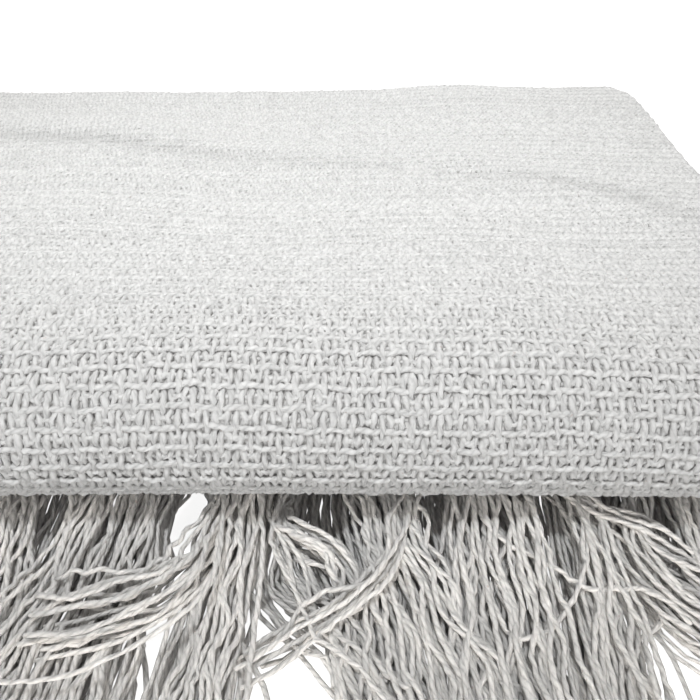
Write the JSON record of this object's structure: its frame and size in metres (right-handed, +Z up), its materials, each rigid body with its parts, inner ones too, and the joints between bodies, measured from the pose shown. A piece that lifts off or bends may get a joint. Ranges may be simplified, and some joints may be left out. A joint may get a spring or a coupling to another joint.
{
  "type": "folded throw blanket",
  "caption": "Open-weave cotton throw blanket with a long twisted-yarn fringe, folded into a flat stack whose fringed ends come out beneath its rounded front fold.",
  "frame": {"origin": "middle of the bounding box at the surface that the folded throw lies on", "axes": "+X along the front fold to the right as seen from the front, +Y from the fringe to the back, +Z up"},
  "size_m": [0.3198, 0.3078, 0.0691],
  "materials": {
    "woven_cotton": "matt open basket weave of soft off-white cotton yarn",
    "fringe_yarn": "matt two-ply twisted off-white cotton yarn, loose and wavy"
  },
  "bodies": {
    "root": {"cloth": "woven_cotton", "fringe_upper_end": "fringe_yarn", "fringe_lower_end": "fringe_yarn"}
  },
  "joints": []
}
